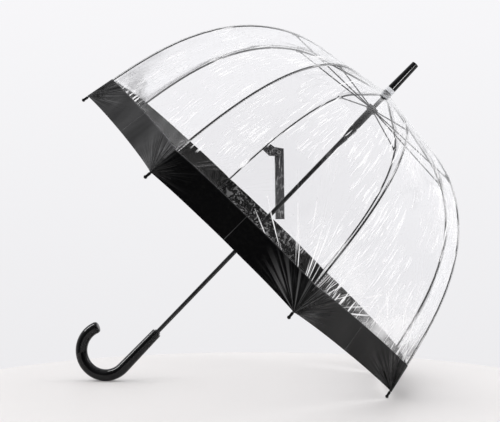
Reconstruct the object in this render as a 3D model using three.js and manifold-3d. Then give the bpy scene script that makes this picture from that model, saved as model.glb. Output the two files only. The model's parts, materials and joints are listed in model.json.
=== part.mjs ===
import * as THREE from "three";
import { mergeVertices } from "three/addons/utils/BufferGeometryUtils.js";
import Module from "manifold-3d";

// A clear dome umbrella, open and resting on the floor on its crook and its two lowest rib tips.
// It is drawn upright, with the crown at the origin, +Z up through the ferrule and the crook
// turning towards -X, and leaned over at the end. Lengths are in millimetres, and a depth is
// measured down the shaft from the crown.

const wasm = await Module();
wasm.setup();

const RIB_COUNT = 8;
const GAP = 0.3;
const SHAFT_ELEVATION = 45.92;

const SHAFT = { radius: 4.4, wall: 0.7, topDepth: -58, bottomDepth: 735 };
const BORE_RADIUS = SHAFT.radius + GAP;
const FERRULE = { tipRadius: 7.4, baseRadius: 9, tipDepth: -83, baseDepth: -13, edge: 1.8 };
const WASHER_RADIUS = 9.8;
const GRIP = { topDepth: 680, bendDepth: 782, topRadius: 10.4, radius: 12.2, edge: 1.2 };
const CROOK = { radius: 51, sweep: THREE.MathUtils.degToRad(203), leadIn: 2 };
const END_CAP = { radius: 11.6, length: 5, edge: 2.2 };
const COLLAR = { radius: 6.4, length: 3.2 };

// Canopy outline along a rib: a shallow cone by the crown that steepens smoothly to the rim.
const CANOPY = {
  crownSlope: THREE.MathUtils.degToRad(10.2),
  slopeGain: THREE.MathUtils.degToRad(67.4),
  bendStart: 168,
  bendLength: 465,
  borderArc: 617,
  rimArc: 672,
  thickness: 0.2,
  hubLift: 7.5,
  hubSpread: 11,
};

const CROWN = { radius: 11.5, bottomDepth: 11, slotTopDepth: 2.4, slotFloor: 7.4 };
const RIB_PIVOT = { radius: 10, depth: 5 };
const EYE_RADIUS = 2.2;
const EYE_HOLE_RADIUS = 1.05;
const WIRE_RADIUS = 0.55;
const GROOVE_HALF = WIRE_RADIUS + 0.4;

const RIB = { width: 3, height: 2.8, cover: 1.1, crownCover: 1.9, jointHeight: 4 };
const ROD_HEIGHT = 2.8;
const FIRST_RIB_ARC = 12.5;
const STRETCHER_ARC = 230;
const ROD_JOINT_ARC = 236;
const ROD_FLEX_ARC = 390;
const TIP = { startArc: 673, length: 13, radius: 3.4, boreRadius: 2.4, boreDepth: 6.5, sides: 8 };

const STRETCHER = { width: 2, height: 2.2, side: 2.8, pivotInset: 3.6 };
const RUNNER = {
  pivotDepth: 44,
  wireRadius: 10.2,
  wheelRadius: 11.7,
  wheelHalf: 5.6,
  slotFloor: 6.6,
  neckRadius: 7.8,
  waistRadius: 6.8,
  collarRadius: 8.6,
  collarDepth: 98,
  collarLength: 8,
  sleeveRadius: 7.2,
  bottomRadius: 6,
  bottomDepth: 122,
};

const CATCH = { width: 3, nose: 7, noseLength: 1.6, length: 34, back: 1.5, tail: 3, slotMargin: 0.8 };
const TOP_CATCH_DEPTH = RUNNER.bottomDepth + GAP;
const RUNNER_TRAVEL = 391.9;
const RUNNER_TOP_DEPTH = RUNNER.pivotDepth - RUNNER.wheelHalf;
const BOTTOM_CATCH_DEPTH = RUNNER_TOP_DEPTH + RUNNER_TRAVEL - GAP;

// The strap's free end hangs from the corner of its fold, which is set off from the seam on the rib.
const STRAP = {
  rib: 3,
  arc: 492,
  across: 43.6,
  drop: 7,
  width: 22.5,
  length: 170,
  thickness: 0.8,
  restArc: 550,
  clearance: 4,
};
const STRAP_FOLD = [
  [-22.5, 4],
  [-37, 15],
  [-52, -1],
  [-35, -17],
  [-22.5, -18],
];
const SNAP = { radius: 5, thickness: 2.4, belowCorner: 9, edge: 0.8 };

// Solids ------------------------------------------------------------------------------------

function plain(geometry) {
  geometry.deleteAttribute("normal");
  geometry.deleteAttribute("uv");
  const merged = mergeVertices(geometry, 1e-4);
  const index = Array.from(merged.index.array);
  const kept = [];
  for (let i = 0; i < index.length; i += 3) {
    const [a, b, c] = index.slice(i, i + 3);
    if (a !== b && b !== c && c !== a) kept.push(a, b, c);
  }
  merged.setIndex(kept);
  return signedVolume(merged) < 0 ? flipped(merged) : merged;
}

function signedVolume(geometry) {
  const corner = [0, 1, 2].map(() => new THREE.Vector3());
  const index = geometry.index.array;
  let volume = 0;
  for (let i = 0; i < index.length; i += 3) {
    corner.forEach((v, n) => v.fromBufferAttribute(geometry.attributes.position, index[i + n]));
    volume += corner[0].dot(corner[1].clone().cross(corner[2])) / 6;
  }
  return volume;
}

function flipped(geometry) {
  const index = Array.from(geometry.index.array);
  for (let i = 0; i < index.length; i += 3) [index[i], index[i + 1]] = [index[i + 1], index[i]];
  geometry.setIndex(index);
  return geometry;
}

function toManifold(geometry) {
  const solid = plain(geometry);
  return new wasm.Manifold(
    new wasm.Mesh({
      numProp: 3,
      vertProperties: Float32Array.from(solid.attributes.position.array),
      triVerts: Uint32Array.from(solid.index.array),
    }),
  );
}

function fromManifold(solid) {
  const mesh = solid.getMesh();
  const geometry = new THREE.BufferGeometry();
  geometry.setAttribute("position", new THREE.BufferAttribute(mesh.vertProperties, 3));
  geometry.setIndex(new THREE.BufferAttribute(mesh.triVerts, 1));
  return geometry;
}

function cut(geometry, cutters) {
  const solid = cutters.reduce((rest, c) => rest.subtract(toManifold(c)), toManifold(geometry));
  return fromManifold(solid);
}

function join(a, b) {
  return fromManifold(toManifold(a).add(toManifold(b)));
}

// A solid of revolution about +Z. Each profile point is [radius, depth].
function turned(profile, segments = 24, start = 0) {
  const points = profile.map(([radius, depth]) => new THREE.Vector2(radius, -depth));
  return plain(new THREE.LatheGeometry(points, segments, start).rotateX(Math.PI / 2));
}

function ring(profile, segments, start) {
  return turned([...profile, profile[0]], segments, start);
}

// A flat bar standing in the plane through the shaft. The outline's points are (radius, height).
function bar(outline, width, side, holes = []) {
  const shape = new THREE.Shape(outline);
  for (const hole of holes) {
    shape.holes.push(new THREE.Path().absarc(hole.x, hole.y, EYE_HOLE_RADIUS, 0, 2 * Math.PI));
  }
  const solid = new THREE.ExtrudeGeometry(shape, {
    depth: width,
    bevelEnabled: false,
    curveSegments: 4,
  });
  return plain(solid.rotateX(Math.PI / 2).translate(0, side + width / 2, 0));
}

function box(size, centre) {
  return new THREE.BoxGeometry(...size).translate(...centre);
}

function arcPoints(centre, radius, from, to, count) {
  return Array.from({ length: count }, (_, n) => {
    const angle = from + ((to - from) * n) / (count - 1);
    return new THREE.Vector2(centre.x + radius * Math.cos(angle), centre.y + radius * Math.sin(angle));
  });
}

// Canopy line -------------------------------------------------------------------------------

function canopySlope(arc) {
  const share = THREE.MathUtils.clamp((arc - CANOPY.bendStart) / CANOPY.bendLength, 0, 1);
  return CANOPY.crownSlope + CANOPY.slopeGain * Math.sin((share * Math.PI) / 2);
}

// One point for each millimetre of arc, as (radius, height).
function canopyLine() {
  const line = [new THREE.Vector2(0, 0)];
  for (let arc = 0; arc < TIP.startArc + TIP.length + 1; arc += 1) {
    const slope = canopySlope(arc + 0.5);
    const last = line[arc];
    line.push(new THREE.Vector2(last.x + Math.cos(slope), last.y - Math.sin(slope)));
  }
  return line;
}

const CANOPY_LINE = canopyLine();

// The point that far along the canopy from the crown, and that far under its surface.
function underCanopy(arc, inset = 0) {
  const step = Math.floor(arc);
  const point = CANOPY_LINE[step].clone().lerp(CANOPY_LINE[step + 1], arc - step);
  const slope = canopySlope(arc);
  return point.add(new THREE.Vector2(-Math.sin(slope) * inset, -Math.cos(slope) * inset));
}

// The film rises over the crown's hub, where the washer clamps it.
function filmPoint(arc, inset) {
  const point = underCanopy(arc, inset);
  const lift = CANOPY.hubLift * Math.exp(-((arc / CANOPY.hubSpread) ** 2));
  return [point.x, -point.y - lift];
}

function arcsBetween(from, to, count) {
  return Array.from({ length: count }, (_, n) => from + ((to - from) * n) / (count - 1));
}

// How near the shaft a flat gore comes between its ribs, as a share of the ribs' distance.
const MID_GORE = Math.cos(Math.PI / RIB_COUNT);

// A sheet of flat gores, one for each gap between ribs, as thick as the film.
function gores(arcs) {
  const outside = arcs.map((arc) => filmPoint(arc, 0));
  const inside = arcs.map((arc) => filmPoint(arc, CANOPY.thickness)).reverse();
  return ring([...outside, ...inside], RIB_COUNT, Math.PI / RIB_COUNT);
}

function canopyFilm() {
  const hub = arcsBetween(BORE_RADIUS + GAP, 29, 6);
  return gores([...hub, ...arcsBetween(50, CANOPY.borderArc - GAP, 21)]);
}

function canopyBorder() {
  return gores(arcsBetween(CANOPY.borderArc, CANOPY.rimArc, 4));
}

// Shaft line --------------------------------------------------------------------------------

function slotFor(noseDepth, towardsHandle) {
  const near = noseDepth - towardsHandle * CATCH.slotMargin;
  const far = noseDepth + towardsHandle * (CATCH.length + CATCH.slotMargin);
  const width = CATCH.width + 2 * GAP;
  return box([SHAFT.radius, width, Math.abs(far - near)], [SHAFT.radius, 0, -(near + far) / 2]);
}

function shaft() {
  const inner = SHAFT.radius - SHAFT.wall;
  const tube = ring(
    [
      [SHAFT.radius, SHAFT.topDepth],
      [SHAFT.radius, SHAFT.bottomDepth],
      [inner, SHAFT.bottomDepth],
      [inner, SHAFT.topDepth],
    ],
    20,
  );
  return cut(tube, [slotFor(TOP_CATCH_DEPTH, 1), slotFor(BOTTOM_CATCH_DEPTH, -1)]);
}

// A leaf spring that lies in the tube, with a nose that stands out of the slot to hold the runner.
function springCatch(noseDepth, towardsHandle) {
  const at = (radius, along) => new THREE.Vector2(radius, -(noseDepth + towardsHandle * along));
  const outline = [
    at(CATCH.back, 0),
    at(CATCH.nose, 0),
    at(CATCH.nose, CATCH.noseLength),
    at(CATCH.tail, CATCH.length),
    at(CATCH.back, CATCH.length),
  ];
  return bar(outline, CATCH.width, 0);
}

function roundedEdge(radius, depth, edge, towards) {
  return arcsBetween(0, Math.PI / 2, 4).map((angle) => [
    radius - edge + edge * Math.cos(angle),
    depth - towards * edge + towards * edge * Math.sin(angle),
  ]);
}

function ferrule() {
  return turned([
    [0, SHAFT.topDepth - 2],
    [BORE_RADIUS, SHAFT.topDepth - 2],
    [BORE_RADIUS, FERRULE.baseDepth],
    [FERRULE.baseRadius, FERRULE.baseDepth],
    ...roundedEdge(FERRULE.tipRadius, FERRULE.tipDepth, FERRULE.edge, -1),
    [0, FERRULE.tipDepth],
  ]);
}

function ferruleWasher() {
  const overFilm = [BORE_RADIUS, 7, WASHER_RADIUS].map((radius) => {
    const [, depth] = filmPoint(radius, 0);
    return [radius, depth - 2 * GAP];
  });
  const top = FERRULE.baseDepth + GAP;
  return ring([[WASHER_RADIUS, top], [BORE_RADIUS, top], ...overFilm]);
}

// The hub that the ribs' inner ends turn in: a slot for each rib and a groove for the wire.
function crownNotch() {
  const underFilm = [CROWN.radius, 8, BORE_RADIUS].map((radius) => {
    const [, depth] = filmPoint(radius / MID_GORE, 0);
    return [radius, depth + CANOPY.thickness + 2 * GAP];
  });
  const groove = RIB_PIVOT.radius - GROOVE_HALF;
  const body = ring(
    [
      ...underFilm,
      [BORE_RADIUS, CROWN.bottomDepth],
      [CROWN.radius - 2, CROWN.bottomDepth],
      [CROWN.radius, CROWN.bottomDepth - 2],
      [CROWN.radius, RIB_PIVOT.depth + GROOVE_HALF],
      [groove, RIB_PIVOT.depth + GROOVE_HALF],
      [groove, RIB_PIVOT.depth - GROOVE_HALF],
      [CROWN.radius, RIB_PIVOT.depth - GROOVE_HALF],
    ],
    24,
  );
  const width = RIB.width + 2 * GAP;
  const height = CROWN.bottomDepth + 1 - CROWN.slotTopDepth;
  const middle = -(CROWN.bottomDepth + 1 + CROWN.slotTopDepth) / 2;
  return cut(body, spokeSlots([CROWN.radius, width, height], CROWN.slotFloor, 0, middle));
}

function spokeSlots([length, width, height], floor, side, middle) {
  return ribAngles().map((angle) =>
    box([length, width, height], [floor + length / 2, side, middle]).rotateZ(angle),
  );
}

// The wire that threads the eyes of the ribs or of the stretchers.
function hubWire(radius, depth) {
  const section = arcsBetween(0, 2 * Math.PI, 7).map((angle) => [
    radius + WIRE_RADIUS * Math.cos(angle),
    depth + WIRE_RADIUS * Math.sin(angle),
  ]);
  section.pop();
  return ring(section, 24);
}

// The sliding part: a slotted wheel for the stretchers, a neck to hold and a collar below.
function runner() {
  const { pivotDepth, wheelRadius, wheelHalf, neckRadius, collarDepth, bottomDepth } = RUNNER;
  const collarEnd = collarDepth + RUNNER.collarLength;
  const groove = RUNNER.wireRadius - GROOVE_HALF;
  const body = ring(
    [
      [BORE_RADIUS, pivotDepth - wheelHalf],
      [BORE_RADIUS, bottomDepth],
      [RUNNER.bottomRadius, bottomDepth],
      [RUNNER.sleeveRadius, collarEnd + 4],
      [RUNNER.collarRadius, collarEnd],
      [RUNNER.collarRadius, collarDepth],
      [RUNNER.waistRadius, collarDepth - 3],
      [neckRadius, collarDepth - 9],
      [neckRadius, pivotDepth + wheelHalf + 2],
      [wheelRadius, pivotDepth + wheelHalf - 1],
      [wheelRadius, pivotDepth + GROOVE_HALF],
      [groove, pivotDepth + GROOVE_HALF],
      [groove, pivotDepth - GROOVE_HALF],
      [wheelRadius, pivotDepth - GROOVE_HALF],
      [wheelRadius, pivotDepth - wheelHalf],
    ],
    24,
  );
  const bottom = pivotDepth + EYE_RADIUS + GAP;
  const top = pivotDepth - wheelHalf - 1;
  const size = [wheelRadius, STRETCHER.width + 2 * GAP, bottom - top];
  const middle = -(bottom + top) / 2;
  return cut(body, spokeSlots(size, RUNNER.slotFloor, STRETCHER.side, middle));
}

// Handle ------------------------------------------------------------------------------------

function crookCentre(angle) {
  const x = CROOK.radius * (Math.cos(angle) - 1);
  return new THREE.Vector3(x, 0, -GRIP.bendDepth - CROOK.radius * Math.sin(angle));
}

// A short straight start inside the grip, then the arc of the crook.
class CrookCurve extends THREE.Curve {
  getPoint(share, target = new THREE.Vector3()) {
    const total = CROOK.leadIn + CROOK.radius * CROOK.sweep;
    const along = share * total - CROOK.leadIn;
    if (along < 0) return target.set(0, 0, -GRIP.bendDepth - along);
    return target.copy(crookCentre(along / CROOK.radius));
  }
}

function crookHandle() {
  const grip = turned([
    [0, SHAFT.bottomDepth + 2],
    [BORE_RADIUS, SHAFT.bottomDepth + 2],
    [BORE_RADIUS, GRIP.topDepth],
    [GRIP.topRadius - GRIP.edge, GRIP.topDepth],
    [GRIP.topRadius, GRIP.topDepth + GRIP.edge],
    [GRIP.radius - 0.02, GRIP.bendDepth],
    [GRIP.radius - 1.5, GRIP.bendDepth + 2],
    [0, GRIP.bendDepth + 3],
  ]);
  const section = new THREE.Shape().absarc(0, 0, GRIP.radius, 0, 2 * Math.PI);
  const crook = new THREE.ExtrudeGeometry(section, {
    steps: 26,
    curveSegments: 9,
    extrudePath: new CrookCurve(),
  });
  return join(grip, crook);
}

function endCap() {
  return turned([
    [0, 0],
    [END_CAP.radius, 0],
    ...roundedEdge(END_CAP.radius, END_CAP.length, END_CAP.edge, 1),
    [0, END_CAP.length],
  ]);
}

// Seats a solid drawn from its own origin down to +depth so that it carries on from the crook.
function endCapPlace(mesh) {
  const along = new THREE.Vector3(-Math.sin(CROOK.sweep), 0, -Math.cos(CROOK.sweep));
  mesh.quaternion.setFromUnitVectors(new THREE.Vector3(0, 0, -1), along);
  mesh.position.copy(crookCentre(CROOK.sweep).addScaledVector(along, GAP));
  return mesh;
}

function handleCollar() {
  const bottom = GRIP.topDepth - GAP;
  const top = bottom - COLLAR.length;
  return ring([
    [BORE_RADIUS, top],
    [COLLAR.radius - 0.6, top],
    [COLLAR.radius, top + 0.6],
    [COLLAR.radius, bottom],
    [BORE_RADIUS, bottom],
  ]);
}

// Ribs --------------------------------------------------------------------------------------

function ribAngles() {
  const pitch = (2 * Math.PI) / RIB_COUNT;
  return Array.from({ length: RIB_COUNT }, (_, n) => (n + 0.5) * pitch);
}

// The ribs' outer edge lies just under the film, a little deeper by the hub.
function ribCover(arc) {
  const share = THREE.MathUtils.smoothstep(arc, RIB_PIVOT.radius, 70);
  return THREE.MathUtils.lerp(RIB.crownCover, RIB.cover, share);
}

function edges(arcs, heightAt) {
  const outer = arcs.map((arc) => underCanopy(arc, ribCover(arc)));
  const inner = arcs.map((arc) => underCanopy(arc, ribCover(arc) + heightAt(arc)));
  return [...inner, ...outer.reverse()];
}

// The eye around a pivot, open towards the bar that leaves it in the given direction.
function eye(pivot, direction, halfHeight) {
  const opening = Math.asin(halfHeight / EYE_RADIUS);
  return arcPoints(pivot, EYE_RADIUS, direction + opening, direction + 2 * Math.PI - opening, 8);
}

function topRib() {
  const pivot = new THREE.Vector2(RIB_PIVOT.radius, -RIB_PIVOT.depth);
  const jointStart = STRETCHER_ARC - 5;
  const jointEnd = ROD_JOINT_ARC - GAP / 2;
  const arcs = [...arcsBetween(FIRST_RIB_ARC, jointStart - 3, 10), jointStart, jointEnd];
  const heightAt = (arc) => (arc >= jointStart ? RIB.jointHeight : RIB.height);
  const outline = [...eye(pivot, -CANOPY.crownSlope, RIB.height / 2), ...edges(arcs, heightAt)];
  return bar(outline, RIB.width, 0, [pivot]);
}

function rod(fromArc, toArc, count) {
  return bar(edges(arcsBetween(fromArc, toArc, count), () => ROD_HEIGHT), RIB.width, 0);
}

function upperRod() {
  return rod(ROD_JOINT_ARC + GAP / 2, ROD_FLEX_ARC - GAP / 2, 10);
}

function lowerRod() {
  const end = TIP.startArc + TIP.boreDepth - GAP;
  return rod(ROD_FLEX_ARC + GAP / 2, end, 12);
}

// A moulded cap with a ball end and a blind bore for the rod.
function ribTip() {
  const { radius, length, boreRadius, boreDepth } = TIP;
  const ball = arcsBetween(0.35, Math.PI / 2, 3).map((angle) => [
    radius * Math.cos(angle),
    length - radius + radius * Math.sin(angle),
  ]);
  const outside = [[radius - 0.8, 0], [radius - 0.4, 1], [radius - 0.8, length - radius - 1]];
  const bore = [[0, boreDepth], [boreRadius, boreDepth], [boreRadius, 0]];
  return turned([...bore, ...outside, ...ball.slice(0, -1), [0, length]], TIP.sides);
}

function ribTipPlace(mesh) {
  const seat = underCanopy(TIP.startArc, RIB.cover + ROD_HEIGHT / 2);
  mesh.position.set(seat.x, 0, seat.y);
  mesh.rotation.y = canopySlope(TIP.startArc) - Math.PI / 2;
  return mesh;
}

function stretcher() {
  const wire = RUNNER.wireRadius;
  const inner = new THREE.Vector2(Math.sqrt(wire ** 2 - STRETCHER.side ** 2), -RUNNER.pivotDepth);
  const outer = underCanopy(STRETCHER_ARC, STRETCHER.pivotInset);
  const direction = outer.clone().sub(inner).angle();
  const half = STRETCHER.height / 2;
  const outline = [...eye(inner, direction, half), ...eye(outer, direction + Math.PI, half)];
  return bar(outline, STRETCHER.width, STRETCHER.side, [inner, outer]);
}

// Strap -------------------------------------------------------------------------------------

// The closing strap lies plumb on the outside of the gore beside its rib, folded over once near
// its seam. Its outline is drawn about the fold's corner, across and up, and leans with the gore.
function strap(normal) {
  const free = [
    [-STRAP.width, -STRAP.length],
    [0, -STRAP.length],
  ];
  const outline = [[0, 0], ...STRAP_FOLD, ...free].map(([x, y]) => new THREE.Vector2(x, y));
  const sheet = new THREE.ExtrudeGeometry(new THREE.Shape(outline), {
    depth: STRAP.thickness,
    bevelEnabled: false,
  });
  sheet.rotateX(Math.PI / 2);
  return plain(sheet.applyMatrix4(leanWith(normal)));
}

// Shears the upright plane through X and Z so that it leans like a plane with that normal.
function leanWith(normal) {
  const lean = new THREE.Matrix4();
  const elements = lean.elements;
  elements[1] = -normal.x / normal.y;
  elements[9] = -normal.z / normal.y;
  return lean;
}

function snap() {
  const { radius, thickness, edge } = SNAP;
  return turned(
    [
      [0, 0],
      [radius, 0],
      [radius, thickness - edge],
      [radius - edge, thickness],
      [0, thickness],
    ],
    16,
  );
}

// Materials ---------------------------------------------------------------------------------

function finish(color, roughness, metalness = 0) {
  return new THREE.MeshStandardMaterial({ color, roughness, metalness });
}

function clearFilm() {
  const material = finish(0xeef1f4, 0.12);
  material.transparent = true;
  material.opacity = 0.25;
  return material;
}

const blackSteel = () => finish(0x1c1c1d, 0.35, 0.6);
const springSteel = () => finish(0x9b9da0, 0.3, 0.9);
const fibreRod = () => finish(0x1f1f21, 0.45);
const glossBlack = () => finish(0x0b0b0c, 0.12);
const blackVinyl = () => finish(0x101012, 0.2);
const mouldedBlack = () => finish(0x222225, 0.4);

function mesh(name, geometry, material) {
  const piece = new THREE.Mesh(geometry, material);
  piece.name = name;
  return piece;
}

// Assembly ----------------------------------------------------------------------------------

function shaftLine() {
  return [
    mesh("shaft", shaft(), blackSteel()),
    mesh("ferrule", ferrule(), glossBlack()),
    mesh("ferrule_washer", ferruleWasher(), clearFilm()),
    mesh("crown_notch", crownNotch(), mouldedBlack()),
    mesh("crown_wire", hubWire(RIB_PIVOT.radius, RIB_PIVOT.depth), springSteel()),
    mesh("runner", runner(), mouldedBlack()),
    mesh("runner_wire", hubWire(RUNNER.wireRadius, RUNNER.pivotDepth), springSteel()),
    mesh("top_spring_catch", springCatch(TOP_CATCH_DEPTH, 1), springSteel()),
    mesh("bottom_spring_catch", springCatch(BOTTOM_CATCH_DEPTH, -1), springSteel()),
    mesh("grip_collar", handleCollar(), mouldedBlack()),
    mesh("crook_handle", crookHandle(), glossBlack()),
    endCapPlace(mesh("handle_end_cap", endCap(), glossBlack())),
    mesh("canopy_film", canopyFilm(), clearFilm()),
    mesh("canopy_border", canopyBorder(), blackVinyl()),
  ];
}

function spoke(angle, number) {
  const group = new THREE.Group();
  group.rotation.z = angle;
  group.add(
    mesh(`top_rib_${number}`, topRib(), blackSteel()),
    mesh(`upper_rod_${number}`, upperRod(), fibreRod()),
    mesh(`lower_rod_${number}`, lowerRod(), fibreRod()),
    ribTipPlace(mesh(`rib_tip_${number}`, ribTip(), glossBlack())),
    mesh(`stretcher_${number}`, stretcher(), blackSteel()),
  );
  return group;
}

// The strap is plumb in the room, so it is placed after the umbrella has been leaned over. It
// clears a plane that touches the middle of the gore at restArc.
function closingStrap(umbrella) {
  umbrella.updateMatrixWorld(true);
  const spoke = ribAngles()[STRAP.rib - 1];
  const onRib = underCanopy(STRAP.arc);
  const seam = new THREE.Vector3(onRib.x * Math.cos(spoke), onRib.x * Math.sin(spoke), onRib.y);
  const onGore = underCanopy(STRAP.restArc);
  const slope = canopySlope(STRAP.restArc);
  const touched = umbrella.localToWorld(new THREE.Vector3(0, onGore.x * MID_GORE, onGore.y));
  const normal = new THREE.Vector3(0, Math.sin(slope), Math.cos(slope));
  normal.transformDirection(umbrella.matrixWorld);
  const corner = umbrella.localToWorld(seam).add(new THREE.Vector3(STRAP.across, 0, -STRAP.drop));
  corner.y -= corner.clone().sub(touched).dot(normal) / normal.y;
  corner.addScaledVector(normal, STRAP.clearance);
  const fastener = mesh("strap_snap", snap(), springSteel());
  fastener.quaternion.setFromUnitVectors(new THREE.Vector3(0, 0, 1), normal);
  fastener.position.set(-STRAP.width / 2, 0, -SNAP.belowCorner).applyMatrix4(leanWith(normal));
  fastener.position.addScaledVector(normal, -STRAP.thickness - GAP);
  const group = new THREE.Group();
  group.position.copy(corner);
  group.add(mesh("closing_strap", strap(normal), blackVinyl()), fastener);
  return group;
}

// Leans the umbrella over and puts the middle of its footprint at the origin, on the floor.
function assemble() {
  const umbrella = new THREE.Group();
  umbrella.add(...shaftLine());
  ribAngles().forEach((angle, n) => umbrella.add(spoke(angle, n + 1)));
  umbrella.rotation.y = THREE.MathUtils.degToRad(90 - SHAFT_ELEVATION);
  const part = new THREE.Group();
  part.add(umbrella, closingStrap(umbrella));
  const bounds = new THREE.Box3().setFromObject(part, true);
  const middle = bounds.getCenter(new THREE.Vector3());
  part.position.set(-middle.x, -middle.y, -bounds.min.z);
  return part;
}

export default assemble();
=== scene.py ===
import json
import math

import bpy
import numpy as np
from mathutils import Matrix, Vector

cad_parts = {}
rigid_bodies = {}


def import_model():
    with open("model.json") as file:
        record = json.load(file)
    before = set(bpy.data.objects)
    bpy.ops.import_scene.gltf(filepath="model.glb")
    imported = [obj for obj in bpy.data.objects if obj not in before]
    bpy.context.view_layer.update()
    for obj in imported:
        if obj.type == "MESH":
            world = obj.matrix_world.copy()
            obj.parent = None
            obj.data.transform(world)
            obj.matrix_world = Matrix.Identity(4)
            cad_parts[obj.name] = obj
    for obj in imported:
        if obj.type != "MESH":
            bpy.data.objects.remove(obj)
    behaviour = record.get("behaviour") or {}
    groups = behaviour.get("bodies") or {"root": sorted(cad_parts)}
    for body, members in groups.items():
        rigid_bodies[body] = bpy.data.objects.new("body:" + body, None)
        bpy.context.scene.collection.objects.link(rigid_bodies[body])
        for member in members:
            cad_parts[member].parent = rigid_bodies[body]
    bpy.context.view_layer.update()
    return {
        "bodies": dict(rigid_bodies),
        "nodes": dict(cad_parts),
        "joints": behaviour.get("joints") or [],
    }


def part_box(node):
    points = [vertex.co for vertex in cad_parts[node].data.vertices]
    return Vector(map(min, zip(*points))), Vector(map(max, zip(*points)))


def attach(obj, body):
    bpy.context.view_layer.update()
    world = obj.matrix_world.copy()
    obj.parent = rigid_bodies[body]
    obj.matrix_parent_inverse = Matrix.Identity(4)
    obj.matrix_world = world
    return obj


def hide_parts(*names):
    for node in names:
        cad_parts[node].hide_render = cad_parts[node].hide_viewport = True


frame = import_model()

# A clear dome umbrella. Lengths are in metres. Places are worked out from the frame: the crown is
# the point where the shaft meets the canopy line, a depth is measured down the shaft from it, and
# an arc is measured from it along the canopy.

RIB_COUNT = 8
RIBS = range(1, RIB_COUNT + 1)
PITCH = math.tau / RIB_COUNT
JOINTS = {joint["name"]: joint for joint in frame["joints"]}
TRAVEL = JOINTS["runner_slide"]["range_m"][1]
PIVOT_DEPTH = 0.005

DOWN = Vector(JOINTS["runner_slide"]["axis"]).normalized()
PIVOTS = [Vector(JOINTS[f"rib_fold_{k}"]["pos_m"]) for k in RIBS]
PIVOT_CENTRE = sum(PIVOTS, Vector()) / RIB_COUNT
CROWN = PIVOT_CENTRE - DOWN * PIVOT_DEPTH
UP = -DOWN
EAST = (PIVOTS[0] + PIVOTS[-1] - 2 * PIVOT_CENTRE).normalized()
NORTH = UP.cross(EAST)

# The canopy line along a rib: a shallow cone by the crown that steepens smoothly to the rim. By
# the shaft the film rises to the washer.
CROWN_SLOPE = math.radians(10.2)
SLOPE_GAIN = math.radians(67.4)
BEND_START = 0.168
BEND_LENGTH = 0.465
BORDER_ARC = 0.617
BORDER_LAP = 0.002
RIM_ARC = 0.672
HUB_LIFT = 0.0075
HUB_SPREAD = 0.011
LINE_STEP = 0.001
LINE_LENGTH = 0.75

ROD_JOINT_ARC = 0.236
ROD_FLEX_ARC = 0.390
RIB_COVER = 0.0011
ROD_HEIGHT = 0.0028
STRETCHER_ARC = 0.230
STRETCHER_INSET = 0.0036

CRISP_ANGLE = math.radians(38)
RIPPLE_WAVES = 7


# ---- Places ----


def place(radius, angle, height):
    """Points in the row frame from distance off the shaft, angle about it and height above the crown."""
    radius, angle, height = np.broadcast_arrays(radius, angle, height)
    across = radius * np.cos(angle)
    along = radius * np.sin(angle)
    axes = np.array([EAST, NORTH, UP])
    return np.array(CROWN) + np.stack([across, along, height], -1) @ axes


def rib_angle(number):
    return (number - 0.5) * PITCH


def canopy_slope(arc):
    share = np.clip((np.asarray(arc, float) - BEND_START) / BEND_LENGTH, 0, 1)
    return CROWN_SLOPE + SLOPE_GAIN * np.sin(share * math.pi / 2)


LINE_ARCS = np.arange(0, LINE_LENGTH, LINE_STEP)
LINE_SLOPES = canopy_slope(LINE_ARCS[:-1] + LINE_STEP / 2)
LINE_RADII = np.concatenate([[0], np.cumsum(np.cos(LINE_SLOPES))]) * LINE_STEP
LINE_HEIGHTS = -np.concatenate([[0], np.cumsum(np.sin(LINE_SLOPES))]) * LINE_STEP


def canopy_line(arc, inset=0.0):
    """(radius, height) that far along the canopy from the crown, and that far under its surface."""
    slope = canopy_slope(arc)
    radius = np.interp(arc, LINE_ARCS, LINE_RADII) - np.sin(slope) * inset
    height = np.interp(arc, LINE_ARCS, LINE_HEIGHTS) - np.cos(slope) * inset
    return radius, height


def hub_lift(arc):
    """How far the film stands above the canopy line by the shaft."""
    return HUB_LIFT * np.exp(-((arc / HUB_SPREAD) ** 2))


def rib_point(number, arc, inset):
    """The point under the canopy surface at a rib."""
    radius, height = canopy_line(arc, inset)
    return Vector(place(radius, rib_angle(number), height))


def rib_directions(number, arc):
    """The way a rib runs at that arc, outward from the canopy, and sideways."""
    slope = float(canopy_slope(arc))
    spoke = Vector(place(1, rib_angle(number), 0)) - CROWN
    along = spoke * math.cos(slope) + DOWN * math.sin(slope)
    outward = spoke * math.sin(slope) + UP * math.cos(slope)
    return along, outward, UP.cross(spoke)


def smoothstep(value, low, high):
    share = np.clip((value - low) / (high - low), 0, 1)
    return share * share * (3 - 2 * share)


def ripple(x, y, seed):
    """A smooth wandering surface between about -1 and 1, about one wave to a unit."""
    random = np.random.RandomState(seed)
    total = np.zeros(np.broadcast(x, y).shape)
    for _ in range(RIPPLE_WAVES):
        heading = random.uniform(0, math.tau)
        pace = random.uniform(0.6, 1.6) * math.tau
        phase = random.uniform(0, math.tau)
        total = total + np.sin(pace * (np.cos(heading) * x + np.sin(heading) * y) + phase)
    return total / math.sqrt(RIPPLE_WAVES)


# ---- Meshes ----


def add_object(name, data):
    made = bpy.data.objects.new(name, data)
    bpy.context.scene.collection.objects.link(made)
    return made


def mesh_piece(name, points, faces, material):
    data = bpy.data.meshes.new(name)
    data.from_pydata([tuple(p) for p in np.asarray(points).reshape(-1, 3)], [], faces)
    data.materials.append(material)
    data.polygons.foreach_set("use_smooth", [True] * len(data.polygons))
    data.update()
    return add_object(name, data)


def strip_faces(rows, columns, wrap, start=0):
    """Quads between neighbouring rows of points, closed round each row if wrap is set."""
    faces = []
    for row in range(rows - 1):
        for column in range(columns if wrap else columns - 1):
            after = (column + 1) % columns
            here = start + row * columns
            faces.append((here + column, here + after, here + columns + after, here + columns + column))
    return faces


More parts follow.
